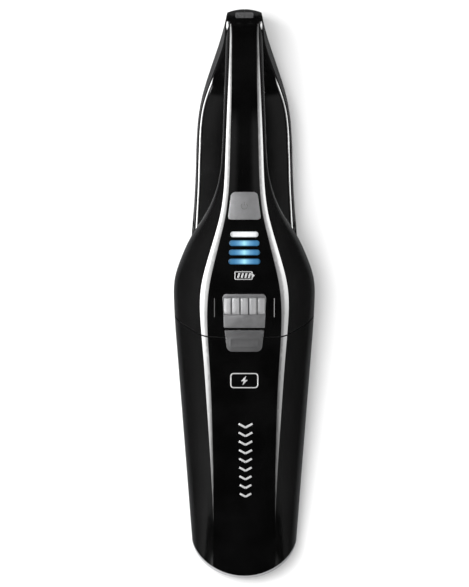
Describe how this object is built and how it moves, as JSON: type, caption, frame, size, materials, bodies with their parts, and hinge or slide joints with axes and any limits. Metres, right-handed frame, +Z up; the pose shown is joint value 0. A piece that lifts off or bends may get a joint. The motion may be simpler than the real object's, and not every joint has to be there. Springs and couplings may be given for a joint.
{
  "type": "handheld vacuum cleaner",
  "caption": "Cordless handheld vacuum with loop handle, pull-off dust cup, pleated filter, light bars, power button and cup-release slider.",
  "frame": {"origin": "middle of the underside on the surface it rests on, under the middle of the bounding box", "axes": "+Y from the nose to the rear of the loop handle, +Z up through the controls, +X to the right seen from above with the nose at the bottom"},
  "size_m": [0.1064, 0.4286, 0.1146],
  "materials": {
    "gloss_black": "glossy black ABS shell",
    "cup_black": "glossy black ABS cup",
    "cover_black": "piano-black cover",
    "control_grey": "satin grey",
    "tab_grey": "satin dark grey",
    "insert_black": "semi-gloss dark grey",
    "inner_black": "matte moulded",
    "inner_grey": "matte moulded",
    "led_white": "translucent light pipe",
    "led_blue": "translucent light pipe",
    "pcb": "solder mask",
    "chip": "light chips",
    "rubber": "soft",
    "steel": "plain",
    "spring_steel": "drawn wire",
    "copper": "bare",
    "filter_cloth": "pleated",
    "magnet": "sintered",
    "cell_wrap": "shrink wrap",
    "carbon": "pressed carbon",
    "wire_red": "insulated wire"
  },
  "bodies": {
    "housing": {"housing_left": "gloss_black", "housing_right": "gloss_black", "top_cover": "cover_black", "housing_screws": "steel", "tail_insert": "insert_black", "charge_contacts": "copper", "contact_holder": "inner_black", "front_bulkhead": "inner_black", "switch_board": "pcb", "switch_body": "inner_black", "led_lens_white": "led_white", "led_lens_blue": "led_blue", "led_board": "pcb", "led_chips": "chip", "latch_pin": "steel", "release_spring": "spring_steel", "fan_housing": "inner_grey", "motor_can": "steel", "motor_end_cap": "inner_black", "motor_bearings": "steel", "motor_magnets": "magnet", "motor_brushes": "carbon", "motor_cradle": "inner_black", "motor_mount_ring": "rubber", "battery_cells": "cell_wrap", "cell_holder_front": "inner_black", "cell_holder_rear": "inner_black", "nickel_strips": "steel", "bms_board": "pcb", "battery_leads": "wire_red", "switch_leads": "wire_red"},
    "cup": {"cup_shell": "cup_black", "cup_catch_tab": "tab_grey", "cup_gasket": "rubber", "inlet_duct": "inner_black", "flap_pin": "steel"},
    "flap": {"inlet_flap": "rubber"},
    "filter": {"filter_frame": "inner_grey", "filter_media": "filter_cloth", "filter_seal": "rubber"},
    "fan": {"impeller": "inner_grey", "motor_shaft": "steel", "rotor_core": "steel", "commutator": "copper"},
    "button": {"power_button": "control_grey"},
    "plunger": {"switch_plunger": "inner_grey"},
    "slider": {"release_slider": "control_grey"},
    "lever": {"latch_lever": "inner_grey"}
  },
  "joints": [
    {"name": "power_press", "type": "slide", "parent": "housing", "child": "button", "axis": [0, 0, -1], "range_m": [0, 0.0012], "stiffness_N_per_m": 400},
    {"name": "plunger_press", "type": "slide", "parent": "housing", "child": "plunger", "axis": [0, 0, -1], "range_m": [0, 0.0012]},
    {"name": "release_slide", "type": "slide", "parent": "housing", "child": "slider", "axis": [0, 0.9718, 0.2359], "range_m": [0, 0.004], "stiffness_N_per_m": 250, "deforming": ["release_spring"]},
    {"name": "latch_tip", "type": "hinge", "parent": "housing", "child": "lever", "pos_m": [0, -0.012, 0.089], "axis": [1, 0, 0], "range_deg": [0, 28.05]},
    {"name": "cup_pull", "type": "slide", "parent": "housing", "child": "cup", "axis": [0, -1, 0], "range_m": [0, 0.13]},
    {"name": "flap_swing", "type": "hinge", "parent": "cup", "child": "flap", "pos_m": [0, -0.1382, 0.0512], "axis": [1, 0, 0], "range_deg": [0, 60]},
    {"name": "filter_pull", "type": "slide", "parent": "housing", "child": "filter", "axis": [0, -1, 0], "range_m": [0, 0.012]},
    {"name": "fan_spin", "type": "hinge", "parent": "housing", "child": "fan", "pos_m": [0, 0, 0.042], "axis": [0, 1, 0], "continuous": true}
  ],
  "couplings": [
    {"joint": "plunger_press", "follows": "power_press", "ratio": 1},
    {"joint": "latch_tip", "follows": "release_slide", "rad_per_m": 122.17}
  ]
}
